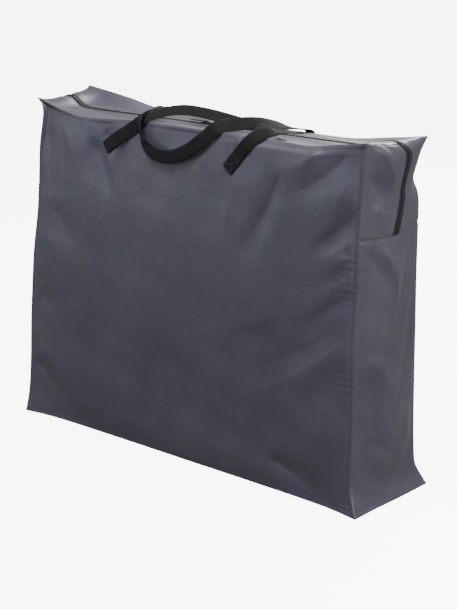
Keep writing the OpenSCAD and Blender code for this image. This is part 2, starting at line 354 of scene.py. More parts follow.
def drape(shell, cut, frames=30, slack=1.004, most=22 * MM):
    """Lets the cloth, cut a little larger than the bag, hang for some frames; moves are capped."""
    before = read_points(shell.data)
    shell.shape_key_add(name="as_hung")
    as_cut = shell.shape_key_add(name="as_cut")
    as_cut.data.foreach_set("co", (cut * (slack, 1, slack)).astype(np.float32).ravel())
    group = shell.vertex_groups.new(name="seams")
    group.add([int(i) for i in np.flatnonzero(held_points(cut))], 1, "REPLACE")
    pack = add_folded_pack()
    only(shell)
    bpy.ops.object.modifier_add(type="CLOTH")
    cloth = shell.modifiers[-1]
    wanted = dict(
        quality=8, mass=0.12, tension_stiffness=30, compression_stiffness=30, shear_stiffness=18,
        bending_stiffness=0.1, tension_damping=8, compression_damping=8, shear_damping=8,
        air_damping=3, vertex_group_mass="seams", rest_shape_key=as_cut, use_pressure=True,
        uniform_pressure_force=0.15,
    )
    for key, value in wanted.items():
        setattr(cloth.settings, key, value)
    cloth.collision_settings.distance_min = 3 * MM
    cloth.collision_settings.collision_quality = 3
    cloth.point_cache.frame_start = 1
    cloth.point_cache.frame_end = frames
    scene = bpy.context.scene
    for step in range(1, frames + 1):
        scene.frame_set(step)
    graph = bpy.context.evaluated_depsgraph_get()
    after = read_points(shell.evaluated_get(graph).to_mesh())
    shell.modifiers.remove(cloth)
    shell.shape_key_clear()
    scene.frame_set(1)
    bpy.data.objects.remove(pack, do_unlink=True)
    move = (after - before) * (1, 0.5, 1)
    length = np.linalg.norm(move, axis=1, keepdims=True)
    write_points(shell.data, before + move * np.minimum(1, most / np.maximum(length, 1e-9)))


# ---- Folds: strokes on the panels, from one end to the other, in millimetres ----

# (start across, start up, end across, end up, width, height); a negative height is a valley
FRONT_FOLDS = [
    (-290, 650, -190, 515, 20, -6.0), (-265, 670, -160, 505, 14, 4.0),
    (-250, 670, -220, 605, 12, -3.5), (-185, 685, -215, 605, 12, 4.0),
    (-400, 500, -260, 360, 28, -2.5), (-395, 430, -290, 310, 22, 2.0),
    (-410, 290, -345, 240, 20, -1.8), (-310, 290, -240, 220, 22, 2.0),
    (-430, 130, -320, 30, 24, -4.5), (-415, 165, -290, 50, 20, 3.0),
    (-425, 650, -390, 515, 22, -3.0), (-350, 680, -330, 560, 18, 3.0),
    (-380, 660, -300, 590, 14, 3.0), (60, 690, 20, 600, 18, 2.5), (-60, 660, 20, 520, 30, 2.5),
    (425, 660, 275, 465, 20, 6.0), (430, 520, 275, 458, 16, 5.0),
    (432, 600, 300, 490, 20, -6.0), (250, 645, 150, 470, 22, -6.0),
    (195, 640, 138, 478, 16, 4.0), (405, 370, 185, 245, 28, -2.5),
    (420, 345, 160, 180, 26, 3.5), (305, 385, 120, 300, 20, -2.5),
    (432, 475, 120, 320, 24, 5.5), (432, 440, 195, 325, 20, -2.5),
    (240, 65, 365, 10, 22, -5.0), (390, 240, 320, 60, 26, 3.5),
    (410, 685, 240, 590, 22, -4.5), (340, 690, 240, 640, 14, 3.5),
    (434, 560, 330, 470, 14, 3.0), (120, 690, 135, 560, 20, -3.0),
]
SIDE_FOLDS = [
    (-85, 530, 0, 390, 16, -4.5), (-50, 545, 25, 370, 14, 4.0), (65, 525, 0, 350, 16, -4.0),
    (-75, 310, 20, 180, 20, 3.5), (75, 340, -10, 150, 20, -3.5), (-65, 140, 45, 40, 18, -3.5),
    (-85, 685, -25, 600, 15, 6.0), (-92, 640, -25, 565, 14, -5.5), (-60, 700, -45, 640, 12, -3.5),
    (-80, 600, -30, 560, 12, 4.0), (30, 200, 70, 60, 18, 3.0),
]
BACK_FOLDS = [
    (-400, 640, -250, 500, 22, -5.0), (-380, 600, -210, 460, 18, 4.0),
    (410, 650, 250, 480, 22, 5.0), (420, 570, 240, 440, 18, -4.5),
    (-410, 150, -300, 40, 24, -5.0), (410, 170, 310, 50, 24, -4.5),
    (-120, 670, -60, 520, 22, 3.5), (150, 670, 90, 530, 20, -3.5),
    (-390, 400, -220, 300, 20, 3.5), (400, 380, 220, 270, 20, -4.0), (-50, 240, 70, 160, 22, 2.5),
]

# Lower edge of the band under the top seam, where the panel turns back over the frame
band_edge = curve_through([
    (-440, 510), (-350, 515), (-300, 530), (-230, 485), (-190, 510), (-130, 485), (60, 470),
    (110, 490), (140, 600), (440, 610),
])

# How far the front panel stands out at each height, below that band
panel_profile = curve_through([(0, 0), (60, 4), (200, 7), (470, 13), (700, 14)])


def fold_height(folds, across, up):
    """Height of a set of folds above the cloth at each place."""
    total = np.zeros(len(across))
    for x0, z0, x1, z1, width, height in np.array(folds) * MM:
        run = np.array([x1 - x0, z1 - z0])
        length = np.linalg.norm(run)
        run = run / length
        along = ((across - x0) * run[0] + (up - z0) * run[1]) / length
        off = (across - x0) * -run[1] + (up - z0) * run[0]
        bend = off - 0.05 * length * np.sin(np.pi * np.clip(along, 0, 1))
        wide = width * (0.5 + 0.9 * np.clip(along, 0, 1))
        taper = smooth(-0.05, 0.25, along) * smooth(1.25, 0.45, along)
        steep = np.exp(-np.abs(bend) / (0.55 * wide))
        gentle = np.exp(-((bend / (1.7 * wide)) ** 2))
        total += 1.25 * height * taper * np.where(bend < 0, 0.55 * steep + 0.45 * gentle, gentle)
    return total


def rumple(across, up):
    """Slow unevenness of cloth that has been folded before."""
    slow = np.sin(17 * across + 9 * up + 0.4) * np.sin(8 * across - 21 * up + 1.9)
    quick = np.sin(41 * across + 27 * up) * np.sin(23 * across - 52 * up + 0.8)
    return 1.6 * MM * slow + 0.6 * MM * quick


def puckers(off_seam, along, height=0.35 * MM, reach=20 * MM, pitch=14 * MM):
    """Short ripples that run in from a sewn edge."""
    swing = along + 6 * MM * np.sin(along / (53 * MM))
    uneven = np.maximum(0, np.sin(along / (37 * MM) + 1.3) + 0.4 * np.sin(along / (13 * MM)))
    return height * uneven * np.sin(2 * math.pi * swing / pitch) * np.exp(-off_seam / reach)


def loose_cloth(cut):
    """How far the folds and puckers stand out on the front, the back and the ends."""
    x, y, z = cut.T
    to_edge, to_face = HALF_W - np.abs(x), HALF_D - np.abs(y)
    lean = 0.066 * np.maximum(0, z - band_edge(x))
    swell = panel_profile(np.minimum(z, band_edge(x))) * (1 - (x / HALF_W) ** 8)
    gathered = (x > 0) * bump(z, 400 * MM, 130 * MM)
    gather = puckers(to_edge, z, 0.3 * MM + 0.5 * MM * gathered, 30 * MM)
    front = fold_height(FRONT_FOLDS, x, z) + swell - lean + gather + rumple(x, z)
    back = fold_height(BACK_FOLDS, x, z) + puckers(to_edge, z) + 0.5 * swell + rumple(-x, z)
    end = fold_height(SIDE_FOLDS, y, z) + puckers(to_face, z) + rumple(2 * y, z)
    beside_zip = 0.8 * np.exp(-((y / (16 * MM)) ** 2)) * (z > SEAM_Z)
    return front, back, end * (1 - beside_zip)


def sink_seams(points, cut):
    """Draws the sewn lines in below the cloth beside them."""
    x, y, z = cut.T
    on_face, on_end = near(np.abs(y), HALF_D), near(np.abs(x), HALF_W)
    sunk = 1.4 * MM * np.exp(-((z - SEAM_Z) / (3.2 * MM)) ** 2)
    sunk -= 0.3 * MM * np.exp(-((z - SEAM_Z + 7 * MM) / (4 * MM)) ** 2)
    points[:, 0] -= np.where(on_end, np.sign(x) * sunk, 0)
    off = np.minimum(HALF_W - np.abs(x), TOP_Z - z)
    ridge = 0.6 * MM * np.exp(-((off - 9 * MM) / (3 * MM)) ** 2)
    points[:, 1] -= np.where(on_face, np.sign(y) * ridge, 0)
    sides = on_end.astype(int) + on_face + near(z, TOP_Z) + near(z, 0)
    sewn = (sides >= 2) & (z > 5 * MM)
    points[:, 0] -= np.where(sewn & on_end, np.sign(x) * 1.1 * MM, 0)
    points[:, 1] -= np.where(sewn & on_face, np.sign(y) * 1.1 * MM, 0)


def keep_clear(points, cut):
    """Keeps the cloth inside the front and back limits, outside the frame and above the floor."""
    x, y, z = cut.T
    room = 5 * MM
    over = np.abs(points[:, 1]) - (FRONT_LIMIT - room)
    eased = FRONT_LIMIT - room + room * np.tanh(np.maximum(over, 0) / room)
    points[:, 1] = np.where(over > 0, np.sign(points[:, 1]) * eased, points[:, 1])
    over_frame = near(np.abs(y), HALF_D) & (z > 30 * MM) & (z < TOP_Z - 12 * MM)
    over_frame &= (x > pack_low.x - 25 * MM) & (x < pack_high.x + 25 * MM)
    clear = np.maximum(np.abs(points[:, 1]), pack_high.y + 3.5 * MM)
    points[:, 1] = np.where(over_frame, np.sign(y) * clear, points[:, 1])
    points[:, 2] = np.maximum(points[:, 2], 0)


def raise_folds(points, cut):
    """Lays the folds, the turned-back band and the seam puckers into the draped shell."""
    x, y, z = cut.T
    front_lift, back_lift, end_lift = loose_cloth(cut)
    to_face = HALF_D - np.abs(y)
    inset = smooth(0, 16 * MM, np.minimum.reduce([HALF_W - np.abs(x), TOP_Z - z, z + 4 * MM]))
    points[:, 1] -= np.where(near(y, -HALF_D), front_lift * inset, 0)
    points[:, 1] += np.where(near(y, HALF_D), back_lift * inset, 0)
    end_inset = smooth(0, 12 * MM, np.minimum(to_face, z + 4 * MM))
    points[:, 0] += np.where(near(np.abs(x), HALF_W), np.sign(x) * end_lift * end_inset, 0)
    top_lift = 2.0 * MM * np.sin(x / (38 * MM) + y / (25 * MM)) + puckers(to_face, x)
    top_inset = smooth(0, 25 * MM, to_face) * smooth(TAPE_HALF, 3 * TAPE_HALF, np.abs(y))
    points[:, 2] += np.where(near(z, TOP_Z), top_lift * top_inset, 0)
    sink_seams(points, cut)
    keep_clear(points, cut)
    return points


# ---- Finishes ----


class Signal:
    """A shader socket that can be used in sums."""

    def __init__(self, finish, socket):
        self.finish = finish
        self.socket = socket

    def _math(self, operation, first, second):
        return self.finish.node("ShaderNodeMath", {"operation": operation}, {0: first, 1: second})

    def __add__(self, other):
        return self._math("ADD", self, other)

    __radd__ = __add__

    def __sub__(self, other):
        return self._math("SUBTRACT", self, other)

    def __rsub__(self, other):
        return self._math("SUBTRACT", other, self)

    def __mul__(self, other):
        return self._math("MULTIPLY", self, other)

    __rmul__ = __mul__


class Finish:
    """A material under one Principled shader."""

    def __init__(self, name, **constants):
        self.material = bpy.data.materials.new(name)
        self.material.use_nodes = True
        self.tree = self.material.node_tree
        self.shader = self.tree.nodes["Principled BSDF"]
        for socket, value in constants.items():
            self.shader.inputs[socket.replace("_", " ")].default_value = value

    def node(self, kind, settings=None, inputs=None, output=0):
        made = self.tree.nodes.new(kind)
        for key, value in (settings or {}).items():
            setattr(made, key, value)
        for key, value in (inputs or {}).items():
            if isinstance(value, Signal):
                self.tree.links.new(value.socket, made.inputs[key])
            else:
                made.inputs[key].default_value = value
        return Signal(self, made.outputs[output])

    def place(self):
        return self.node("ShaderNodeTexCoord", output="Object")

    def cloth_place(self):
        return self.node("ShaderNodeUVMap", {"uv_map": "cloth"})

    def noise(self, scale, where, detail=3.0, stretch=(1, 1, 1)):
        spot = self.node("ShaderNodeMapping", inputs={"Vector": where, "Scale": stretch})
        return self.node("ShaderNodeTexNoise", inputs={"Vector": spot, "Scale": scale, "Detail": detail})

    def axis(self, where, name):
        return self.node("ShaderNodeSeparateXYZ", inputs={"Vector": where}, output=name)

    def sine(self, value):
        return self.node("ShaderNodeMath", {"operation": "SINE"}, {0: value})

    def ramp(self, value, low, high):
        """0 at low and 1 at high."""
        return self.node("ShaderNodeMapRange", inputs={0: value, 1: low, 2: high})

    def blend(self, amount, first, second):
        return self.node("ShaderNodeMix", {"data_type": "RGBA"}, {0: amount, 6: first, 7: second}, 2)

    def feed(self, socket, value):
        self.tree.links.new(value.socket, self.shader.inputs[socket])

    def relief(self, height, depth, strength, **under):
        inputs = {"Height": height, "Distance": depth, "Strength": strength, **under}
        return self.node("ShaderNodeBump", inputs=inputs)

    def done(self, colour, roughness, normal):
        self.feed("Base Color", colour)
        self.feed("Roughness", roughness)
        self.feed("Normal", normal)
        return self.material


def shade(colour, factor):
    return (colour[0] * factor, colour[1] * factor, colour[2] * factor, 1)


def weave(finish, where, pitch):
    """Over and under threads of a plain weave, 0 to 1."""
    turn = 2 * math.pi / pitch
    across = finish.sine(finish.axis(where, "X") * turn)
    along = finish.sine(finish.axis(where, "Y") * turn)
    return across * along * 0.5 + 0.5


def nylon_finish():
    """Coated taffeta: fine weave, satin sheen, slight crumple and uneven coating."""
    colour = (0.0345, 0.0340, 0.0515)
    made = Finish("bag_nylon", Sheen_Weight=0.05, Sheen_Roughness=0.4, Specular_IOR_Level=0.5)
    where, cloth = made.place(), made.cloth_place()
    cloud = made.noise(5.0, where, 4.0)
    fine = made.noise(320.0, cloth, 2.0)
    mottled = made.blend(made.ramp(cloud, 0.3, 0.7), shade(colour, 0.90), shade(colour, 1.10))
    warm = made.blend(made.ramp(made.noise(11.0, where), 0.45, 0.8), mottled, (0.039, 0.037, 0.048, 1))
    thread = weave(made, cloth, 1.2 * MM)
    crumple = made.noise(26.0, where, 5.0, (1, 1, 0.6)) + 0.3 * made.noise(75.0, where, 3.0)
    soft = made.relief(crumple, 2.4 * MM, 0.6)
    return made.done(made.blend(thread * 0.18, warm, shade(colour, 0.72)),
                     0.39 + 0.08 * made.ramp(cloud, 0.3, 0.7) + 0.05 * fine,
                     made.relief(thread + 0.5 * fine, 0.08 * MM, 0.5, Normal=soft))


def webbing_finish(name, colour, rib=1.6 * MM):
    """Flat webbing: ribs across the strap with painted highlight on their crests and painted shade
    between them, a tighter edge, and high threads painted paler in patches, partly wear and partly
    painted highlight.
    """
    made = Finish(name, Sheen_Weight=0.02, Sheen_Roughness=0.5, Specular_IOR_Level=0.10)
    cloth = made.cloth_place()
    turn = 2 * math.pi / rib
    along, across = made.axis(cloth, "X"), made.axis(cloth, "Y")
    slant = made.sine((along + across * 0.9) * turn) * made.sine((along - across * 0.9) * turn)
    rows = slant * 0.5 + 0.5
    wear_and_highlight = made.ramp(made.noise(60.0, made.place(), 4.0), 0.55, 0.8)
    # Ribs painted paler on their crests and darker between them: painted highlight and painted shade.
    rib_shade_and_highlight = made.blend(rows, shade(colour, 0.65), shade(colour, 1.25))
    # High threads painted paler still in noise patches: partly wear, partly painted highlight.
    return made.done(made.blend(wear_and_highlight * rows * 0.4, rib_shade_and_highlight, shade(colour, 2.2)),
                     0.72 - 0.10 * rows + 0.1 * wear_and_highlight, made.relief(rows, 0.35 * MM, 0.8))


def plastic_finish(name, colour, roughness=0.42, grain=900.0):
    """Moulded plastic or rubber: fine texture, with paler rubbed patches."""
    made = Finish(name, Specular_IOR_Level=0.45)
    where = made.place()
    rubbed = made.ramp(made.noise(70.0, where, 5.0), 0.58, 0.75)
    texture = made.noise(grain, where, 2.0)
    return made.done(made.blend(rubbed * 0.35, shade(colour, 1.0), shade(colour, 1.9)),
                     roughness + 0.12 * texture - 0.10 * rubbed,
                     made.relief(texture, 0.12 * MM, 0.5))


def coated_finish(name, colour, roughness):
    """Powder coat or lacquer over metal: orange peel, with small chips to bare metal."""
    made = Finish(name, Coat_Weight=0.15, Coat_Roughness=0.3)
    where = made.place()
    chip = made.ramp(made.noise(150.0, where, 6.0), 0.70, 0.74)
    peel = made.noise(420.0, where, 2.0)
    film = made.blend(made.noise(9.0, where), shade(colour, 0.92), shade(colour, 1.06))
    made.feed("Metallic", chip * 0.9)
    return made.done(made.blend(chip, film, (0.45, 0.45, 0.46, 1)),
                     roughness + 0.10 * peel - 0.08 * chip,
                     made.relief(peel - chip * 0.6, 0.10 * MM, 0.5))


def steel_finish():
    """Zinc-plated pin: brushed round its length, with dull blooms."""
    made = Finish("zinc_pin", Metallic=1.0)
    where = made.place()
    brushed = made.noise(900.0, where, 2.0, (1, 1, 0.04))
    bloom = made.noise(160.0, where, 4.0)
    return made.done(made.blend(bloom, (0.52, 0.52, 0.55, 1), (0.66, 0.66, 0.66, 1)),
                     0.28 + 0.2 * bloom, made.relief(brushed, 0.05 * MM, 0.5))


def board_finish():
    """Hardboard: pressed fibre flecks over a brown face."""
    made = Finish("hardboard", Specular_IOR_Level=0.3)
    where = made.place()
    fibre = made.noise(240.0, where, 6.0, (0.25, 1, 1))
    cloud = made.noise(7.0, where, 3.0)
    face = made.blend(fibre, (0.27, 0.17, 0.09, 1), (0.47, 0.33, 0.20, 1))
    return made.done(made.blend(cloud * 0.4, face, (0.33, 0.22, 0.12, 1)),
                     0.62 + 0.15 * fibre, made.relief(fibre, 0.15 * MM, 0.6))


def mesh_finish():
    """Knitted wall mesh: round holes in offset rows, open to see through."""
    made = Finish("wall_mesh", Sheen_Weight=0.2)
    cloth = made.cloth_place()
    turn = 2 * math.pi / (3.2 * MM)
    across = made.sine(made.axis(cloth, "X") * turn)
    along = made.sine(made.axis(cloth, "Y") * turn)
    hole = made.ramp(across * along, 0.25, 0.45)
    thread = made.noise(700.0, cloth, 2.0)
    made.feed("Alpha", 1 - hole)
    return made.done(made.blend(thread, (0.36, 0.37, 0.40, 1), (0.52, 0.53, 0.56, 1)),
                     0.6 + 0.2 * thread, made.relief(1 - hole, 0.3 * MM, 0.6))


def cover_finish():
    """Brushed polyester: woven face, soft nap, faint shade variation."""
    colour = (0.30, 0.31, 0.35)
    made = Finish("mat_cover", Sheen_Weight=0.3, Sheen_Roughness=0.5, Specular_IOR_Level=0.3)
    where = made.place()
    cloud, nap = made.noise(6.0, where, 4.0), made.noise(650.0, where, 3.0)
    face = made.blend(cloud, shade(colour, 0.9), shade(colour, 1.08))
    return made.done(made.blend(nap * 0.3, face, shade(colour, 0.7)),
                     0.7 + 0.15 * nap, made.relief(nap, 0.2 * MM, 0.5))


BLACK = (0.0055, 0.0055, 0.0062)
nylon = nylon_finish()
webbing = webbing_finish("black_webbing", BLACK)
tape_weave = webbing_finish("zip_tape_weave", (0.010, 0.010, 0.013), rib=0.9 * MM)
strip_weave = webbing_finish("hinge_strip_weave", (0.03, 0.03, 0.035), rib=2.4 * MM)
thread_black = webbing_finish("black_thread", (0.045, 0.045, 0.050), rib=0.4 * MM)
thread_grey = webbing_finish("grey_thread", (0.012, 0.012, 0.018), rib=0.4 * MM)
coil_plastic = plastic_finish("coil_plastic", (0.012, 0.012, 0.014), 0.34)
lacquer = coated_finish("slider_lacquer", (0.02, 0.02, 0.022), 0.28)
tab_plastic = plastic_finish("tab_plastic", (0.017, 0.017, 0.018), 0.40)
black_plastic = plastic_finish("fitting_plastic", (0.03, 0.03, 0.033), 0.48)
rubber = plastic_finish("foot_rubber", (0.02, 0.02, 0.02), 0.72, 500.0)
frame_coat = coated_finish("frame_powder_coat", (0.35, 0.36, 0.38), 0.40)
rail_coat = coated_finish("rail_powder_coat", (0.42, 0.43, 0.45), 0.36)
pin_steel = steel_finish()
hardboard = board_finish()
wall_mesh = mesh_finish()
mat_cover = cover_finish()


# ---- Cutting the draped shell into its sewn panels ----

# Panels that run smoothly into each other share one set of normals
SMOOTH_WITH = {"front_panel": 0, "back_panel": 1, "bottom_gusset": 2}


def build_shell():
    """The whole bag in one piece: cloth coordinates, fine points, faces and panel numbers."""
    cut, faces, labels = make_shell()
    shell = new_object("bag_shell", shape_shell(cut), faces)
    drape(shell, cut)
    mesh = shell.data
    flat = mesh.attributes.new("flat_place", "FLOAT_VECTOR", "POINT")
    flat.data.foreach_set("vector", cut.astype(np.float32).ravel())
    panel = mesh.attributes.new("panel", "INT", "FACE")
    panel.data.foreach_set("value", np.array(labels, np.int32))
    ends = np.zeros(len(mesh.edges) * 2, np.int32)
    mesh.edges.foreach_get("vertices", ends)
    ends = ends.reshape(-1, 2)
    sides = np.stack([near(np.abs(cut[:, 0]), HALF_W), near(np.abs(cut[:, 1]), HALF_D),
                      near(cut[:, 2], 0) | near(cut[:, 2], TOP_Z)], axis=1)
    sewn = (sides[ends[:, 0]] & sides[ends[:, 1]]).sum(axis=1) >= 2
    top_end = sewn & ~sides[ends[:, 0], 1] & (cut[ends[:, 0], 2] > SEAM_Z)
    crease = mesh.attributes.new("crease_edge", "FLOAT", "EDGE")
    crease.data.foreach_set("value", np.where(top_end, 0.0, sewn * 0.85).astype(np.float32))
    apply_modifier(shell, "SUBSURF", levels=2, render_levels=2)
    mesh = shell.data
    place = np.zeros(len(mesh.vertices) * 3, np.float32)
    mesh.attributes["flat_place"].data.foreach_get("vector", place)
    place = place.reshape(-1, 3).astype(float)
    number = np.zeros(len(mesh.polygons), np.int32)
    mesh.attributes["panel"].data.foreach_get("value", number)
    corners = np.zeros(len(mesh.loops), np.int32)
    mesh.loops.foreach_get("vertex_index", corners)
    points = raise_folds(read_points(mesh), place)
    bpy.data.objects.remove(shell, do_unlink=True)
    return place, points, corners.reshape(-1, 4), number


def point_normals(points, quads):
    """Normals of the points, from the faces given."""
    a, b, c, d = (points[quads[:, i]] for i in range(4))
    face = np.cross(c - a, d - b)
    total = np.zeros_like(points)
    for i in range(4):
        np.add.at(total, quads[:, i], face)
    return unit(total)


def flat_uv(name, place):
    x, y, z = place.T
    if name in ("front_panel", "back_panel"):
        return np.stack([x, z], axis=1)
    if "side_gusset" in name:
        return np.stack([y, z], axis=1)
    return np.stack([np.abs(x) + (TOP_Z - z), y], axis=1)


def cut_panel(name, shell, normals):
    """One panel as its own sheet, with the bag's normals so that it joins its neighbours."""
    place, points, quads, number = shell
    mine = quads[number == PANEL[name]]
    used, local = np.unique(mine, return_inverse=True)
    made = new_object(f"{name}_cloth", points[used], local.reshape(-1, 4))
    made.data.shade_smooth()
    set_uv(made.data, flat_uv(name, place[used]))
    group = SMOOTH_WITH.get(name, 3)
    made.data.normals_split_custom_set_from_vertices(normals[group][used].tolist())
    return made


REPLACED = {
    "left_tape": "left_zip_tape", "right_tape": "right_zip_tape",
    "front_lip_left": "front_lip", "front_lip_right": "front_lip",
    "back_lip_left": "back_lip", "back_lip_right": "back_lip",
    "front_tape_left": "front_lip_tape", "front_tape_right": "front_lip_tape",
    "back_tape_left": "back_lip_tape", "back_tape_right": "back_lip_tape",
}


def open_with_lip(made, side):
    """Bakes the placement of a top piece that lies between the bag's fixed end and the lip that lifts.
    """
    sign = -1 if side == "left" else 1
    sign * BLEND_START
    sign * BLEND_END
    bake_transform(made)


def add_panels(shell):
    _, points, quads, number = shell
    group_of = np.array([SMOOTH_WITH.get(name, 3) for name in PANELS])[number]
    normals = [point_normals(points, quads[group_of == group]) for group in range(4)]
    for name in PANELS:
        made = cut_panel(name, shell, normals)
        tape = "tape" in name
        finish_piece(made, tape_weave if tape else nylon)
        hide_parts(REPLACED.get(name, name))
        moving = name.startswith(("front_lip", "back_lip", "front_tape", "back_tape"))
        if moving:
            open_with_lip(made, name.split("_")[2])
        else:
            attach(made, "bag")


# ---- Small pieces repeated along a line ----


def frames_along(line, normals, pitch, start=0.0):
    """Evenly spaced places on a line, with the direction, normal and side at each."""
    run = run_along(line)
    count = max(1, int((run[-1] - start) / pitch))
    at = start + (np.arange(count) + 0.5) * pitch
    along = unit(read_at(at + pitch / 2, run, line) - read_at(at - pitch / 2, run, line))
    side = unit(np.cross(read_at(at, run, normals), along))
    return read_at(at, run, line), along, np.cross(along, side), side


def repeat_along(name, model, frames):
    """Copies of a small model, whose X runs along, Y to the side and Z up."""
    points = read_points(model.data)
    faces = [tuple(p.vertices) for p in model.data.polygons]
    place, along, up, side = frames
    copies, all_faces = [], []
    for i in range(len(place)):
        turned = points[:, :1] * along[i] + points[:, 1:2] * side[i] + points[:, 2:] * up[i]
        copies.append(place[i] + turned)
        all_faces += [[v + i * len(points) for v in face] for face in faces]
    made = new_object(name, np.concatenate(copies), all_faces)
    made.data.shade_smooth()
    u = np.concatenate([p[:, :2] for p in copies])
    set_uv(made.data, u)
    return made


def stitch_model():
    """One stitch of thread: a short round bar that dips into the cloth at both ends."""
    bpy.ops.object.select_all(action="DESELECT")
    bpy.ops.mesh.primitive_uv_sphere_add(segments=6, ring_count=4, radius=0.5)
    stitch = bpy.context.object
    bpy.ops.object.mode_set(mode="EDIT")
    bpy.ops.transform.resize(value=(3.2 * MM, 0.75 * MM, 0.55 * MM))
    bpy.ops.object.mode_set(mode="OBJECT")
    return stitch


def coil_model():
    """One turn of the zip's coil: a rounded bar across the teeth."""
    corner = Vector((0.75, 1.45, 0.8)) * MM
    return block(-corner, corner, 0.45 * MM, 2)


def drop(*models):
    for model in models:
        bpy.data.objects.remove(model, do_unlink=True)


# ---- Zip ----


def zip_line(shell, off=0.0):
    """Places, normals and flat coordinates along the zip, from the left seam to the right."""
    place, points, quads, _ = shell
    normals = point_normals(points, quads)
    x, y, z = place.T
    rows = np.unique(np.round(y[near(z, TOP_Z)], 6))
    row = rows[np.argmin(np.abs(rows - off))]
    picked = near(y, row) & (near(z, TOP_Z) | (near(np.abs(x), HALF_W) & (z >= SEAM_Z)))
    run = x + np.sign(x) * (TOP_Z - z)
    order = np.flatnonzero(picked)[np.argsort(run[picked])]
    return points[order], normals[order], run[order]


def stretch(line, low, high):
    """The part of a line between two places along the zip."""
    points, normals, run = line
    keep = (run >= low) & (run <= high)
    return points[keep], normals[keep]


def add_zip(shell):
    coil, stitch = coil_model(), stitch_model()
    line = zip_line(shell)
    end = HALF_W + TOP_Z - SEAM_Z
    stretches = [("left_end", -end, -LIP_HALF), ("left", -LIP_HALF, 0),
                 ("right", 0, LIP_HALF), ("right_end", LIP_HALF, end)]
    for where, low, high in stretches:
        for face, sign in (("front", -1), ("back", 1)):
            points, normals = stretch(line, low, high)
            frames = list(frames_along(points, normals, 2.5 * MM, 0.6 * MM * (1 + sign)))
            frames[0] = frames[0] + frames[3] * (1.35 * MM * sign) + frames[2] * 0.7 * MM
            teeth = repeat_along(f"{face}_coil_{where}", coil, frames)
            finish_piece(teeth, coil_plastic)
            points, normals = stretch(zip_line(shell, sign * 8 * MM), low, high)
            frames = list(frames_along(points, normals, 4.5 * MM))
            frames[0] = frames[0] + frames[2] * 0.2 * MM
            sewn = repeat_along(f"{face}_tape_stitches_{where}", stitch, frames)
            finish_piece(sewn, thread_black)
            if where.endswith("end"):
                side = where.split("_")[0]
                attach(teeth, "bag")
                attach(sewn, "bag")
                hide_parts(f"{side}_zip_chain")
            else:
                open_with_lip(teeth, where)
                open_with_lip(sewn, where)
                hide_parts(f"{face}_lip_teeth")
    drop(coil, stitch)


def joined(name, pieces):
    only(pieces[0])
    for piece in pieces:
        piece.select_set(True)
    bpy.ops.object.join()
    made = bpy.context.object
    made.name = name
    made.data.name = name
    bpy.ops.object.shade_smooth_by_angle(angle=math.radians(40))
    return made


def pull_in(made, tail, factor):
    """Narrows the end of a slider's plate towards the zip's middle line."""
    only(made)
    bpy.ops.object.mode_set(mode="EDIT")
    bpy.ops.mesh.select_mode(type="VERT")
    bpy.ops.mesh.select_all(action="DESELECT")
    bpy.ops.object.mode_set(mode="OBJECT")
    for vertex in made.data.vertices:
        vertex.select = abs(vertex.co.x - tail) < 6 * MM
    bpy.ops.object.mode_set(mode="EDIT")
    bpy.ops.transform.resize(value=(1, factor, 1), center_override=(0, 0, 0))
    bpy.ops.object.mode_set(mode="OBJECT")


def add_slider(side):
    """Two plates joined by a wedge at the nose, flanges beside the coil, and the tab's bridge."""
    low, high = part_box(f"zip_slider_{side}")
    nose, tail, ahead = (high.x, low.x, -5 * MM) if side == "left" else (low.x, high.x, 5 * MM)
    bridge_z, middle = high.z - 3.2 * MM, (low.x + high.x) / 2
    pieces = []
    for z0 in (low.z, bridge_z - 1.5 * MM):
        pieces.append(block((low.x, low.y, z0), (high.x, high.y, z0 + 1.5 * MM), 0.6 * MM))
        pull_in(pieces[-1], tail, 0.72)
    pieces.append(block((min(nose, nose + ahead), -1.3 * MM, low.z + 0.5 * MM),
                        (max(nose, nose + ahead), 1.3 * MM, bridge_z - 0.5 * MM), 0.5 * MM))
    pieces.append(block((middle - 4.4 * MM, -1.5 * MM, high.z - 1.1 * MM),
                        (middle + 4.4 * MM, 1.5 * MM, high.z), 0.5 * MM))
    for z0 in (low.z + 0.5 * MM, bridge_z - 2.4 * MM):
        pieces += [block((low.x + 2 * MM, y0, z0), (high.x - 5 * MM, y0 + 0.7 * MM, z0 + 1.9 * MM),
                         0.3 * MM) for y0 in (low.y, high.y - 0.7 * MM)]
    pieces += [block((at - 0.8 * MM, -1.5 * MM, bridge_z - 0.3 * MM),
                     (at + 0.8 * MM, 1.5 * MM, high.z - 0.5 * MM), 0.4 * MM)
               for at in (middle - 3.6 * MM, middle + 3.6 * MM)]
    made = joined(f"{side}_slider_body", pieces)
    finish_piece(made, lacquer, f"slider_{side}")
    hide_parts(f"zip_slider_{side}")


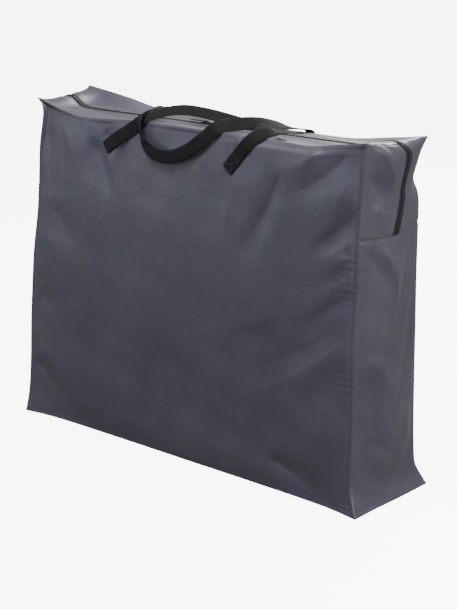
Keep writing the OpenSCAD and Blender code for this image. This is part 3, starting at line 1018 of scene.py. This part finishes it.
def add_pull_tab(side):
    """Moulded tab: a rounded plate with a sunk grip, raised ribs and an eye at the slider."""
    sign = -1 if side == "left" else 1
    low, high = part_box(f"pull_tab_{side}")
    eye, tip = (low.x, high.x) if sign > 0 else (high.x, low.x)
    waist = eye + sign * 8 * MM
    plate = block((min(waist, tip), low.y, low.z), (max(waist, tip), high.y, high.z), 0.8 * MM)
    bpy.ops.object.mode_set(mode="OBJECT")
    for face in plate.data.polygons:
        face.select = face.normal.z > 0.98
    only(plate)
    bpy.ops.object.mode_set(mode="EDIT")
    bpy.ops.mesh.select_mode(type="FACE")
    bpy.ops.mesh.inset(thickness=1.4 * MM)
    bpy.ops.transform.translate(value=(0, 0, -0.5 * MM))
    bpy.ops.object.mode_set(mode="OBJECT")
    inner = min(abs(waist), abs(tip)) + 8 * MM
    ribs = [block((sign * (inner + i * 3 * MM) - 0.6 * MM, low.y + 2 * MM, high.z - 0.6 * MM),
                  (sign * (inner + i * 3 * MM) + 0.6 * MM, high.y - 2 * MM, high.z), 0.3 * MM)
            for i in range(7)]
    eye_x = eye + sign * 1.2 * MM
    arms = [block((min(eye, waist + sign * MM), y0, low.z + 0.2 * MM),
                  (max(eye, waist + sign * MM), y0 + 1.2 * MM, high.z - 0.2 * MM), 0.4 * MM)
            for y0 in (-2.8 * MM, 1.6 * MM)]
    bar = block((eye_x - 1.0 * MM, -2.8 * MM, low.z + 0.2 * MM),
                (eye_x + 1.0 * MM, 2.8 * MM, high.z - 0.2 * MM), 0.5 * MM)
    made = joined(f"{side}_tab", [plate, bar] + ribs + arms)
    finish_piece(made, tab_plastic, f"tab_{side}")
    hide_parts(f"pull_tab_{side}")


# ---- Handles: 27 mm webbing on given routes ----

STRAP_W = 27 * MM
STRAP_T = 2.2 * MM
STRAP_LIMIT = 120.5 * MM       # how far a strap may stand out in front

# Each point is x, y, z in millimetres, the lean of the strap's face from up (0) to level (90),
# and the way that a leaning face looks: 0 to the front, 90 to the right
BACK_ROUTE = [
    (-186, 110, 632, -90, 0), (-191, 108, 650, -90, 0), (-197, 106, 668, -90, 0),
    (-202, 103, 682, -80, 0), (-203, 90, 694, -35, 0), (-188, 60, 701, 0, 0), (-150, 10, 708, 15, 0),
    (-125, -40, 712, 30, 0), (-105, -80, 712, 50, -15), (-92, -106, 700, 78, -35),
    (-88, -111, 678, 90, -40), (-77, -112, 656, 92, -25), (-50, -117, 643, 94, 0),
    (-12, -118, 640, 88, 10), (35, -117, 657, 82, 18), (72, -114, 683, 76, 26),
    (98, -100, 705, 68, 32), (120, -62, 712, 60, 36), (139, -20, 711, 50, 34),
    (154, 25, 702, 35, 25), (164, 60, 693, 5, 0), (169, 90, 686, -35, 0),
    (167, 103, 676, -80, 0), (158, 106, 662, -90, 0), (148, 108, 648, -90, 0),
    (138, 110, 632, -90, 0),
]
FRONT_ROUTE = [
    (-190, -110, 638, 90, 0), (-160, -108, 657, 90, 0), (-129, -106, 677, 90, 0),
    (-104, -104, 694, 84, 0), (-86, -94, 708, 58, 0), (-64, -70, 718, 40, 10),
    (-30, -49, 723, 40, 25), (12, -38, 720, 40, 30), (60, -32, 714, 40, 30),
    (110, -30, 708, 30, 25), (160, -33, 704, 20, 10), (205, -40, 703, 10, 0),
    (230, -57, 707, 10, 0), (228, -80, 711, 25, 0), (211, -97, 708, 55, 0),
    (193, -105, 697, 82, 0), (174, -107, 678, 90, 0), (153, -109, 655, 90, 0),
    (133, -110, 632, 90, 0),
]

# Where a strap starts to follow the lip, and where it is all on it: distance out, height
ROOT_START = (104 * MM, 682 * MM)
ROOT_END = (92 * MM, 700 * MM)


def rounded_route(route, step=4 * MM):
    """Smooth, evenly spaced points and face directions along a route."""
    route = np.array(route, float)
    at = np.arange(len(route))
    fine = np.linspace(0, len(route) - 1, 20 * len(route))
    slope = np.gradient(route, axis=0)
    i = np.clip(fine.astype(int), 0, len(route) - 2)
    t = (fine - i)[:, None]
    line = ((1 + 2 * t) * (1 - t) ** 2 * route[i] + t * (1 - t) ** 2 * slope[i]
            + t * t * (3 - 2 * t) * route[i + 1] + t * t * (t - 1) * slope[i + 1])
    points, lean, look = line[:, :3] * MM, np.radians(line[:, 3]), np.radians(line[:, 4])
    run = run_along(points)
    even = np.linspace(0, run[-1], int(run[-1] / step))
    points = read_at(even, run, points)
    lean, look = np.interp(even, run, lean), np.interp(even, run, look)
    facing = np.stack([np.sin(lean) * np.sin(look), -np.sin(lean) * np.cos(look),
                       np.cos(lean)], axis=1)
    return points, facing


def strap_directions(points, facing):
    """Across the strap and out of its face, at each point of its route."""
    along = unit(np.gradient(points, axis=0))
    side = unit(np.cross(facing, along))
    return side, np.cross(along, side)


def strap_rows(points, side, up, run):
    """Cross-sections of flat webbing with rounded edges, swept along a route."""
    across = np.array([-0.5, -0.47, -0.3, -0.1, 0.1, 0.3, 0.47, 0.5])
    thick = np.array([0.15, 0.42, 0.5, 0.46, 0.46, 0.5, 0.42, 0.15])
    ring = np.concatenate([np.stack([across, thick], 1), np.stack([across, -thick], 1)[::-1]])
    rows = (points[:, None] + side[:, None] * (ring[None, :, :1] * STRAP_W)
            + up[:, None] * (ring[None, :, 1:] * STRAP_T))
    return rows, np.stack(np.broadcast_arrays(run[:, None], ring[None, :, 0] * STRAP_W), axis=2)


def strap(name, rows, uv):
    """One length of webbing from its cross-sections, closed at both ends."""
    count, loops = rows.shape[:2]
    faces = [[r * loops + k, r * loops + (k + 1) % loops, (r + 1) * loops + (k + 1) % loops,
              (r + 1) * loops + k] for r in range(count - 1) for k in range(loops)]
    faces += [list(range(loops))[::-1], [(count - 1) * loops + k for k in range(loops)]]
    made = new_object(name, rows.reshape(-1, 3), faces)
    only(made)
    bpy.ops.object.mode_set(mode="EDIT")
    bpy.ops.mesh.select_all(action="SELECT")
    bpy.ops.mesh.normals_make_consistent(inside=False)
    bpy.ops.object.mode_set(mode="OBJECT")
    bpy.ops.object.shade_smooth_by_angle(angle=math.radians(50))
    set_uv(made.data, uv.reshape(-1, 2))
    return finish_piece(made, webbing)


def surface_y(tree, x, z, sign):
    """How far out the cloth stands at a place on the front (-1) or back (1)."""
    hit, _, _, _ = tree.ray_cast(Vector((x, sign * 0.3, z)), Vector((0, -sign, 0)))
    return hit.y if hit else sign * HALF_D


def clear_of_panel(tree, points, gap):
    """Keeps a strap that hangs over the front off the cloth behind it."""
    for p in points:
        if p[2] < TOP_Z and p[1] < -0.09:
            p[1] = min(p[1], surface_y(tree, p[0], p[2], -1) - gap)
    return points


def lifted_clear(tree, points, facing):
    """Moves a strap out along its face wherever its middle or edges would cut the bag."""
    side, _ = strap_directions(points, facing)
    push = np.zeros(len(points))
    for i, place in enumerate(points):
        for reach in (-0.5, -0.25, 0, 0.25, 0.5):
            spot = Vector(place + side[i] * reach * STRAP_W)
            hit, normal, _, _ = tree.find_nearest(spot)
            short = 0.6 * STRAP_T - (spot - hit).dot(normal)
            push[i] = max(push[i], short / max(0.6, normal.dot(Vector(facing[i]))))
    wide = np.array([push[max(0, i - 2):i + 3].max() for i in range(len(push))])
    even = np.convolve(np.pad(wide, 2, mode="edge"), np.ones(5) / 5, mode="valid")
    return points + facing * np.minimum(even, 12 * MM)[:, None]


def laid_on_panel(tree, line, sign, edge):
    """Lays both ends of a strap flat on the panel, up to where they turn over its top edge."""
    for end in (line, line[::-1]):
        count = int(np.argmax(end[:, 2] > edge))
        on_cloth = np.array([surface_y(tree, x, z, sign) for x, _, z in end[:count]])
        on_cloth += sign * 0.62 * STRAP_T
        step = on_cloth[-1] - end[count - 1, 1]
        reach = np.linalg.norm(end[count:] - end[count - 1], axis=1)
        end[count:, 1] += step * smooth(40 * MM, 0, reach)
        end[:count, 1] = on_cloth
    return line


def add_sewn_box(name, stitch, points, side, up, run):
    """The stitched box and cross near the start of a strap, laid on its face."""
    half, near_end, far_end = STRAP_W / 2 - 3.5 * MM, 4 * MM, 34 * MM
    corner = np.array([(near_end, -half), (near_end, half), (far_end, half), (far_end, -half)])
    rows = []
    for a, b in [(0, 1), (1, 2), (2, 3), (3, 0), (0, 2), (1, 3)]:
        along, across = (corner[a] + (corner[b] - corner[a]) * np.linspace(0, 1, 12)[:, None]).T
        middle, sideways, out = (read_at(along, run, part) for part in (points, side, up))
        spots = middle + sideways * across[:, None] + out * 0.5 * STRAP_T
        rows.append(frames_along(spots, out, 3.6 * MM))
    frames = [np.concatenate([row[k] for row in rows]) for k in range(4)]
    sewn = repeat_along(f"{name}_stitches", stitch, frames)
    finish_piece(sewn, thread_black, "bag")


def add_handle(face, route, edge, tree, stitch):
    """A handle in three lengths: an end on the bag, the loop that swings, and the other end."""
    sign = -1 if face == "front" else 1
    line, facing = rounded_route(route)
    line = laid_on_panel(tree, line, sign, edge)
    if face == "back":
        line = clear_of_panel(tree, line, 2.2 * MM)
    line = lifted_clear(tree, line, facing)
    side, up = strap_directions(line, facing)
    run = run_along(line)
    rows, uv = strap_rows(line, side, up, run)
    rows[..., 1] += np.maximum(0, -STRAP_LIMIT - rows[..., 1].min(axis=1))[:, None]
    start, end = np.array(ROOT_START), np.array(ROOT_END)
    place = np.stack([line[:, 1] * sign, line[:, 2]], axis=1)
    passed = np.flatnonzero((place - start) @ (end - start) >= (end - start) @ (end - start))
    first, last = passed[0], passed[-1]
    lengths = [(slice(0, first + 1), 1), (slice(last, len(line)), -1)]
    for i, (part, order) in enumerate(lengths):
        name = f"{face}_strap_end_{i + 1}"
        made = strap(name, rows[part], uv[part])
        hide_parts(f"{face}_handle_ends")
        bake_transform(made)
        from_tip = run if order > 0 else run[-1] - run[::-1]
        add_sewn_box(name, stitch, line[::order], side[::order], up[::order], from_tip)
    loop = strap(f"{face}_strap", rows[first:last + 1], uv[first:last + 1])
    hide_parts(f"{face}_handle")
    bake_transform(loop)


def add_handles(shell):
    _, points, quads, _ = shell
    tree = BVHTree.FromPolygons([Vector(p) for p in points], quads.tolist())
    stitch = stitch_model()
    add_handle("front", FRONT_ROUTE, 690 * MM, tree, stitch)
    add_handle("back", BACK_ROUTE, 676 * MM, tree, stitch)
    drop(stitch)


# ---- Seam stitches ----


def add_seam_stitches(shell):
    """Two rows along the level side seams, and one row beside each upright seam."""
    place, points, quads, _ = shell
    normals = point_normals(points, quads)
    stitch = stitch_model()
    x, y, z = place.T

    def sew(name, face, off, level, along):
        """Stitches on the grid line of a face that lies nearest to a level."""
        levels = np.unique(np.round(off[face], 6))
        row = levels[np.argmin(np.abs(levels - level))]
        picked = np.flatnonzero(face & near(off, row))
        picked = picked[np.argsort(along[picked])]
        frames = frames_along(points[picked], normals[picked], 4.5 * MM)
        finish_piece(repeat_along(name, stitch, frames), thread_grey, "bag")

    for side, sign in (("left", -1), ("right", 1)):
        for row, offset in (("upper", 3 * MM), ("lower", -3 * MM)):
            sew(f"{side}_seam_stitches_{row}", near(x, sign * HALF_W), z, SEAM_Z + offset, y)
        for face, front in (("front", -1), ("back", 1)):
            sew(f"{face}_{side}_edge_stitches", near(y, front * HALF_D), x,
                sign * (HALF_W - 8 * MM), z)
    drop(stitch)


# ---- Folded playpen inside ----


def grid_sheet(name, across, up, at):
    """A rectangular sheet whose points come from at(across, up)."""
    points = [at(a, b) for b in up for a in across]
    n = len(across)
    faces = [[j * n + i, j * n + i + 1, (j + 1) * n + i + 1, (j + 1) * n + i]
             for j in range(len(up) - 1) for i in range(n - 1)]
    made = new_object(name, points, faces)
    made.data.shade_smooth()
    return made


def add_wall(face):
    """Mesh wall stretched on an end frame, drawn in a little between its edges."""
    low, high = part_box(f"{face}_wall")
    sign = -1 if face == "front" else 1
    middle_y = (low.y + high.y) / 2
    across = np.linspace(low.x, high.x, 73)
    up = np.linspace(low.z, high.z, 63)

    def at(a, b):
        s, t = (a - low.x) / (high.x - low.x), (b - low.z) / (high.z - low.z)
        give = math.sin(math.pi * s) * math.sin(math.pi * t)
        ripple = 0.6 * MM * math.sin(40 * a) * math.sin(31 * b)
        return (a, middle_y - sign * (3 * MM * give + ripple), b)

    made = grid_sheet(f"{face}_mesh_wall", across, up, at)
    set_uv(made.data, read_points(made.data)[:, [0, 2]])
    finish_piece(made, wall_mesh, "bag")
    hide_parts(f"{face}_wall")


def add_folded_wall(side):
    """Side wall folded in pleats between the rails."""
    low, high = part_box(f"{side}_wall_folded")
    pleats = 8
    rise, deep = high.z - low.z, high.y - low.y - 4 * MM
    run = np.linspace(0, 1, 24 * pleats + 1)
    across = np.linspace(low.x, high.x, 61)

    def at(a, b):
        swing = math.cos(math.pi * pleats * b)
        sag = 1.5 * MM * math.sin(9 * a + 5 * b) * (1 - swing ** 2)
        y = deep / 2 * math.copysign(abs(swing) ** 0.8, swing)
        return (a, y, low.z + 3 * MM + (rise - 6 * MM) * b + sag)

    made = grid_sheet(f"{side}_pleated_wall", across, run, at)
    count = len(across)
    points = read_points(made.data).reshape(len(run), count, 3)
    length = run_along(points[:, 0])
    uv = np.stack([np.tile(across, len(run)), np.repeat(length, count)], axis=1)
    set_uv(made.data, uv)
    finish_piece(made, wall_mesh, "bag")
    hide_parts(f"{side}_wall_folded")


def add_hinge_strip():
    low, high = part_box("floor_hinge_strip")
    across = np.linspace(low.x, high.x, 81)
    up = np.linspace(low.y, high.y, 13)
    middle = (low.z + high.z) / 2

    def at(a, b):
        return (a, b, middle + 0.4 * MM * math.cos(60 * a) * math.cos(math.pi * b / high.y))

    made = grid_sheet("hinge_strip_webbing", across, up, at)
    set_uv(made.data, read_points(made.data)[:, :2])
    finish_piece(made, strip_weave, "bag")
    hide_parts("floor_hinge_strip")


def add_mattress(face):
    """Padded half: crowned faces, pulled-in edges, and sewn channels across it."""
    low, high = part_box(f"mattress_{face}")
    made = cube(low, high)
    bpy.ops.object.mode_set(mode="EDIT")
    bpy.ops.mesh.select_all(action="SELECT")
    bpy.ops.mesh.subdivide(number_cuts=47)
    bpy.ops.object.mode_set(mode="OBJECT")
    points = read_points(made.data)
    middle = np.array((low + high) / 2)
    half = np.array((high - low) / 2)
    s = (points - middle) / half
    round_edge = (1 - np.abs(s[:, 0]) ** 14) * (1 - np.abs(s[:, 2]) ** 12)
    channel = np.exp(-((np.abs(np.sin(s[:, 0] * math.pi * 3)) / 0.10) ** 2))
    puff = (0.55 + 0.45 * round_edge) * (1 - 0.28 * channel * round_edge)
    points[:, 1] = middle[1] + s[:, 1] * half[1] * puff
    points[:, 0] = middle[0] + s[:, 0] * half[0] * (1 - 0.006 * (1 - s[:, 2] ** 2))
    points[:, 2] = middle[2] + s[:, 2] * half[2] * (1 - 0.008 * (1 - s[:, 0] ** 2))
    write_points(made.data, points)
    made.name = f"mattress_{face}_pad"
    bpy.ops.object.shade_smooth()
    finish_piece(made, mat_cover, "bag")
    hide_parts(f"mattress_{face}")


CAD_FINISHES = {
    "end_frame": frame_coat, "_rail_": rail_coat, "rail_knuckles": black_plastic,
    "knuckle_pins": pin_steel, "corner_brackets": black_plastic, "foot_pads": rubber,
    "floor_board": hardboard,
}


def finish_hard_parts():
    for name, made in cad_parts.items():
        for key, finish in CAD_FINISHES.items():
            if key in name:
                for slot in made.material_slots:
                    slot.material = finish


# ---- Build ----

shell = build_shell()
add_panels(shell)
add_zip(shell)
for side in ("left", "right"):
    add_slider(side)
    add_pull_tab(side)
    add_folded_wall(side)
for face in ("front", "back"):
    add_wall(face)
    add_mattress(face)
add_handles(shell)
add_seam_stitches(shell)
add_hinge_strip()
finish_hard_parts()


# ---- Studio: pale floor, soft light, three-quarter view from the front right ----


def add_camera():
    data = bpy.data.cameras.new("view")
    camera = bpy.data.objects.new("view", data)
    bpy.context.collection.objects.link(camera)
    data.lens = 82.8
    data.sensor_width = 36
    yaw, pitch, distance = math.radians(39.5), math.radians(16.7), 2.92
    right = Vector((math.cos(yaw), math.sin(yaw), 0))
    back = Vector((math.sin(yaw) * math.cos(pitch), -math.cos(yaw) * math.cos(pitch),
                   math.sin(pitch)))
    camera.location = right * 0.034 + Vector((0, 0, 0.3135)) + back * distance
    camera.rotation_mode = "QUATERNION"
    camera.rotation_quaternion = back.to_track_quat("Z", "Y")
    bpy.context.scene.camera = camera


def add_light(name, place, size, power, colour):
    data = bpy.data.lights.new(name, "AREA")
    data.size = size
    data.color = colour
    data.energy = power
    light = bpy.data.objects.new(name, data)
    bpy.context.collection.objects.link(light)
    light.location = place
    light.rotation_mode = "QUATERNION"
    light.rotation_quaternion = (Vector(place) - Vector((0, 0, 0.35))).to_track_quat("Z", "Y")


def add_studio():
    world = bpy.data.worlds.new("studio")
    bpy.context.scene.world = world
    world.use_nodes = True
    world.node_tree.nodes["Background"].inputs["Color"].default_value = (1, 1, 1, 1)
    world.node_tree.nodes["Background"].inputs["Strength"].default_value = 0.30
    add_light("key", (0.1, -1.3, 3.0), 1.3, 150, (0.96, 0.98, 1.0))
    add_light("side", (2.8, 0.0, 2.1), 1.0, 150, (1.0, 0.93, 0.85))
    add_light("low", (-2.6, -2.4, 0.9), 1.2, 18, (0.94, 0.97, 1.0))
    add_light("right", (2.4, -1.9, 2.0), 1.2, 55, (1.0, 0.99, 0.98))
    add_light("behind", (-0.6, 2.8, 2.2), 1.4, 110, (0.98, 0.99, 1.0))
    bpy.ops.object.select_all(action="DESELECT")
    bpy.ops.mesh.primitive_plane_add(size=60)
    floor = bpy.context.object
    floor.name = "studio_floor"
    paper = Finish("pale_floor", Roughness=0.9, Emission_Strength=6.5)
    paper.shader.inputs["Emission Color"].default_value = (1, 1, 1, 1)
    paper.feed("Base Color", paper.blend(paper.noise(2.0, paper.place()), (0.93, 0.93, 0.93, 1),
                                         (0.95, 0.95, 0.95, 1)))
    floor.data.materials.append(paper.material)
    floor.visible_diffuse = False
    floor.visible_glossy = False


add_camera()
add_studio()
